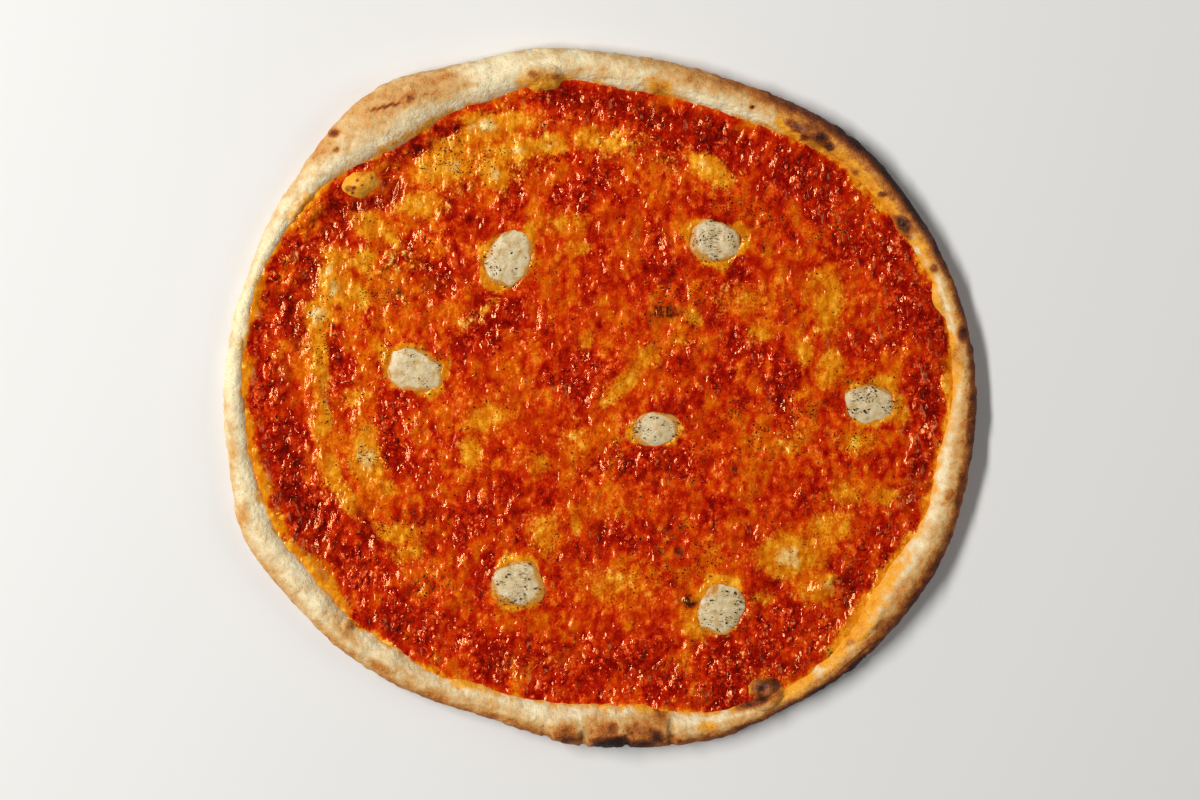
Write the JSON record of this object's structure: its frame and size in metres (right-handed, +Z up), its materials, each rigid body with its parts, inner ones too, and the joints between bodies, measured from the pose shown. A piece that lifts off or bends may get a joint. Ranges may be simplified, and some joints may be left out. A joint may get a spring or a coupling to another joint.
{
  "type": "new york-style pizza",
  "caption": "Whole baked New York-style pizza with an uneven puffed rim, red sauce, melted orange cheese and pieces of fresh mozzarella, resting flat.",
  "frame": {"origin": "centre of the pizza's outline, on the flat underside that it rests on", "axes": "+Z up from the underside to the toppings, +X along the longer way across, +Y towards the wide puffed stretch of rim at upper left in the picture"},
  "size_m": [0.436, 0.4096, 0.0204],
  "materials": {
    "baked_dough": "dry floury dough, cream with golden and charred patches",
    "tomato_sauce": "wet chunky tomato pulp with oil on it",
    "melted_cheese": "melted cheese stained orange by tomato oil, glossy and uneven",
    "fresh_mozzarella": "soft white cheese, satin, with dark flecks of dried herb"
  },
  "bodies": {
    "root": {"crust": "baked_dough", "tomato_sauce": "tomato_sauce", "melted_cheese": "melted_cheese", "mozzarella_1": "fresh_mozzarella", "mozzarella_2": "fresh_mozzarella", "mozzarella_3": "fresh_mozzarella", "mozzarella_4": "fresh_mozzarella", "mozzarella_5": "fresh_mozzarella", "mozzarella_6": "fresh_mozzarella", "mozzarella_7": "fresh_mozzarella"}
  },
  "joints": []
}
